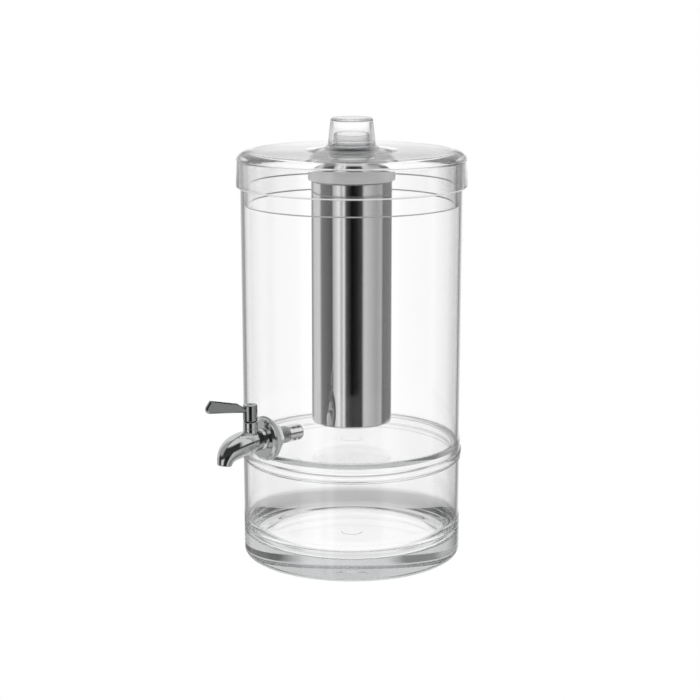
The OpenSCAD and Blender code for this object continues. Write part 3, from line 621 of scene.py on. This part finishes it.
# Knob: a hollow tapered clear cup screwed on the neck from above, which clamps the lid and the tube cap
# together.
clear_knob = clear_finish("clear_knob", 0.10, 0.06, 0.02, 0, 0.3)
KNOB_TOP = 430.2
KNOB_ROOF = 427.2
KNOB_Z = 407.6
knob_rows = np.concatenate([
    on_axis(KNOB_ROOF, -1),
    rounded([(0, KNOB_ROOF), (17.5, KNOB_ROOF), (17.5, 414.2), (18.2, 414.2), (18.2, KNOB_Z), (22.7, KNOB_Z),
             (20.3, KNOB_TOP), (0, KNOB_TOP)], [1.0, 0.25, 0.25, 0.3, 0.5, 2.4], 7),
    on_axis(KNOB_TOP, 1)])
put("knob_cup", [turned(knob_rows, 192)], clear_knob, "knob", "lid_knob")

# Floor and light: a white sweep, even white where the eye meets it straight, and a bright surround, with the
# dark and light panels of a studio that show only in reflections, so that the steel gets its upright bands
# and the plastic its grey edges. For light that comes through the clear parts and for bounced light the sweep
# carries a painted pool of light under the pedestal and a painted shadow ring round its foot.
VIEW_AZ = math.radians(49.36)
FLOOR_HALF = 6
FLOOR_Z = -0.0004
FLOOR_FADE = 0.5
floor_mesh = bpy.data.meshes.new("floor")
floor_corners = [(x * FLOOR_HALF, y * FLOOR_HALF, FLOOR_Z) for x, y in ((-1, -1), (1, -1), (1, 1), (-1, 1))]
floor_mesh.from_pydata(floor_corners, [], [(0, 1, 2, 3)])
floor = bpy.data.objects.new("floor", floor_mesh)
bpy.context.scene.collection.objects.link(floor)
floor_paint = bpy.data.materials.new("white_sweep_painted_shade")
floor_paint.use_nodes = True
floor_tree = floor_paint.node_tree
floor_tree.nodes.remove(floor_tree.nodes["Principled BSDF"])
sheet_light = floor_tree.nodes.new("ShaderNodeEmission")
floor_place = floor_tree.nodes.new("ShaderNodeTexCoord")
floor_reach = floor_tree.nodes.new("ShaderNodeVectorMath")
floor_reach.operation = "LENGTH"
floor_scale = floor_tree.nodes.new("ShaderNodeMath")
floor_scale.operation = "MULTIPLY"
floor_scale.inputs[1].default_value = 1 / FLOOR_FADE
floor_shade = floor_tree.nodes.new("ShaderNodeValToRGB")
floor_stops = floor_shade.color_ramp.elements
# Greys by distance from the middle: a painted pool of light under the pedestal, then a painted shadow ring
# round its foot, then white.
FLOOR_POOL_AND_SHADOW_GREYS = [(0.0, 1.10), (0.16, 1.10), (0.20, 0.78), (0.24, 0.55), (0.30, 0.58), (0.36, 0.97),
               (0.82, 1.08)]
for _ in FLOOR_POOL_AND_SHADOW_GREYS[2:]:
    floor_stops.new(0.5)
for stop, (at, grey) in zip(floor_stops, FLOOR_POOL_AND_SHADOW_GREYS):
    stop.position = at
    stop.color = (grey, grey, grey, 1)
floor_tree.links.new(floor_place.outputs["Object"], floor_reach.inputs[0])
floor_tree.links.new(floor_reach.outputs["Value"], floor_scale.inputs[0])
floor_tree.links.new(floor_scale.outputs[0], floor_shade.inputs["Fac"])
floor_rays = floor_tree.nodes.new("ShaderNodeLightPath")
floor_level = floor_tree.nodes.new("ShaderNodeMix")
floor_level.inputs["B"].default_value = 1.0
floor_tree.links.new(floor_rays.outputs["Is Camera Ray"], floor_level.inputs["Factor"])
floor_tree.links.new(floor_shade.outputs["Color"], floor_level.inputs["A"])
floor_tree.links.new(floor_level.outputs["Result"], sheet_light.inputs["Strength"])
see_past = floor_tree.nodes.new("ShaderNodeBsdfTransparent")
floor_mix = floor_tree.nodes.new("ShaderNodeMixShader")
floor_gate = floor_tree.nodes.new("ShaderNodeMath")
floor_gate.operation = "GREATER_THAN"
floor_gate.inputs[1].default_value = 0.5
floor_tree.links.new(floor_rays.outputs["Glossy Depth"], floor_gate.inputs[0])
floor_tree.links.new(floor_gate.outputs[0], floor_mix.inputs["Fac"])
floor_tree.links.new(sheet_light.outputs[0], floor_mix.inputs[1])
floor_tree.links.new(see_past.outputs[0], floor_mix.inputs[2])
floor_tree.links.new(floor_mix.outputs[0], floor_tree.nodes["Material Output"].inputs["Surface"])
floor_mesh.materials.append(floor_paint)

world = bpy.data.worlds.new("studio")
bpy.context.scene.world = world
world.use_nodes = True
sky = world.node_tree
sky.nodes.clear()


def sky_math(operation, a, b=0.0):
    """One arithmetic step of the surround."""
    made = sky.nodes.new("ShaderNodeMath")
    made.operation = operation
    for k, value in enumerate((a, b)):
        if isinstance(value, (int, float)):
            made.inputs[k].default_value = value
        else:
            sky.links.new(value, made.inputs[k])
    return made.outputs[0]


def ramp(value, stops):
    """Grey levels along a value from 0 to 1."""
    made = sky.nodes.new("ShaderNodeValToRGB")
    steps = made.color_ramp.elements
    while len(steps) < len(stops):
        steps.new(0.5)
    for step, (at, grey) in zip(steps, stops):
        step.position = at
        step.color = (grey, grey, grey, 1)
    sky.links.new(value, made.inputs["Fac"])
    return made.outputs["Color"]


def blend_grey(fac, a, b):
    """Linear mix of two greys."""
    rest = sky_math("MULTIPLY", a, sky_math("SUBTRACT", 1.0, fac))
    return sky_math("ADD", sky_math("MULTIPLY", b, fac), rest)


heading = sky.nodes.new("ShaderNodeTexCoord")
parts = sky.nodes.new("ShaderNodeSeparateXYZ")
sky.links.new(heading.outputs["Generated"], parts.inputs[0])
to_camera = sky_math("ADD", sky_math("MULTIPLY", parts.outputs[0], math.sin(VIEW_AZ)),
                     sky_math("MULTIPLY", parts.outputs[1], -math.cos(VIEW_AZ)))
to_right = sky_math("ADD", sky_math("MULTIPLY", parts.outputs[0], math.cos(VIEW_AZ)),
                    sky_math("MULTIPLY", parts.outputs[1], math.sin(VIEW_AZ)))
turn = sky_math("MULTIPLY_ADD", sky_math("ARCTAN2", to_right, to_camera), 1 / (2 * math.pi))
turn.node.inputs[2].default_value = 0.5
height = sky_math("MULTIPLY_ADD", parts.outputs[2], 0.5)
height.node.inputs[2].default_value = 0.5
PANELS = [(-180, 1.0), (-168, 0.9), (-160, 0.3), (-144, 0.3), (-136, 0.6), (-104, 0.62), (-96, 0.2),
          (-70, 0.055), (-58, 0.03), (-53, 0.5), (-36, 1.0), (-29, 0.45), (-22, 0.9), (-16, 0.08), (0, 0.003),
          (28, 0.03), (36, 0.66), (74, 0.42), (92, 0.5), (100, 0.13), (150, 0.2), (164, 0.95), (180, 1.0)]
panels = ramp(turn, [(0.5 + bearing / 360, grey) for bearing, grey in PANELS])
panels = sky_math("MULTIPLY", panels, 1.12)
back_half = ramp(turn, [(0.0, 1), (0.20, 1), (0.26, 0), (0.74, 0), (0.80, 1), (1.0, 1)])
level_band = ramp(height, [(0.0, 0), (0.475, 0), (0.49, 1), (1.0, 1)])
above = ramp(height, [(0.0, 1), (0.547, 1), (0.55, 0.6), (0.554, 0.47), (0.58, 0.52), (0.61, 0.92),
                      (1.0, 1.0)])
overhead = ramp(height, [(0.0, 0), (0.57, 0), (0.63, 1), (1.0, 1)])
front_core = ramp(turn, [(0.0, 0), (0.33, 0), (0.38, 1), (0.64, 1), (0.68, 0), (1.0, 0)])
front_top = ramp(height, [(0.0, 0), (0.86, 0), (0.93, 1), (1.0, 1)])
overhead = blend_grey(front_core, overhead, front_top)
underfoot = ramp(height, [(0.0, 1), (0.18, 1), (0.25, 0), (1.0, 0)])
room = blend_grey(sky_math("MULTIPLY", back_half, level_band), panels, above)
front_half = sky_math("SUBTRACT", 1.0, back_half)
eye_level = ramp(height, [(0.0, 0), (0.46, 0), (0.49, 1), (0.88, 1), (0.94, 0), (1.0, 0)])
room = blend_grey(sky_math("MULTIPLY", front_half, eye_level), room, 0.05)
left_side = ramp(turn, [(0.0, 0), (0.14, 0), (0.2, 1), (0.36, 1), (0.4, 0), (1.0, 0)])
room = blend_grey(overhead, room, blend_grey(left_side, 0.95, 0.5))
beside = ramp(turn, [(0.0, 0), (0.14, 0), (0.2, 1), (0.32, 1), (0.38, 0), (0.62, 0), (0.68, 1), (0.8, 1),
                     (0.86, 0), (1.0, 0)])
low_side = ramp(height, [(0.0, 0.9), (0.05, 0.9), (0.09, 0.3), (1.0, 0.3)])
room = blend_grey(underfoot, room, blend_grey(beside, 0.85, low_side))
rays = sky.nodes.new("ShaderNodeLightPath")
mirrored = sky_math("GREATER_THAN", rays.outputs["Glossy Depth"], 0.5)
diffused = sky_math("GREATER_THAN", rays.outputs["Diffuse Depth"], 0.5)
backdrop = ramp(turn, [(0.0, 1), (0.10, 1), (0.17, 0.3), (0.30, 0.25), (0.5, 0.5), (0.70, 0.25), (0.83, 0.3),
                       (0.90, 1), (1.0, 1)])
surround = ramp(height, [(0.0, 1.0), (0.62, 1.0), (0.70, 0.55), (0.80, 0.6), (0.90, 0.9), (1.0, 0.95)])
surround = sky_math("MULTIPLY", sky_math("MULTIPLY", surround, backdrop), 1.18)
seen = blend_grey(mirrored, surround, room)
lit = blend_grey(diffused, seen, 0.95)
glow = sky.nodes.new("ShaderNodeBackground")
plain = blend_grey(rays.outputs["Is Camera Ray"], lit, 1.0)
sky.links.new(plain, glow.inputs["Color"])
sky_out = sky.nodes.new("ShaderNodeOutputWorld")
sky.links.new(glow.outputs[0], sky_out.inputs["Surface"])

# Camera: at the photograph's height and bearing, looking a little down at the middle of the jar.
VIEW_REACH = 1.7106
VIEW_Z = 0.5702
PITCH = math.radians(10.79)
ASIDE = math.radians(0.057)
lens = bpy.data.cameras.new("camera")
lens.sensor_width = 36
lens.lens = 91.55
lens.shift_y = -0.06
lens.clip_end = 50
camera = bpy.data.objects.new("camera", lens)
bpy.context.scene.collection.objects.link(camera)
camera.location = (VIEW_REACH * math.sin(VIEW_AZ), -VIEW_REACH * math.cos(VIEW_AZ), VIEW_Z)
camera.rotation_euler = (math.pi / 2 - PITCH, 0, VIEW_AZ + ASIDE)
bpy.context.scene.camera = camera
bpy.context.scene.view_settings.view_transform = "Standard"
cycles = bpy.context.scene.cycles
cycles.max_bounces = 128
cycles.transmission_bounces = 96
cycles.glossy_bounces = 96
cycles.transparent_max_bounces = 32
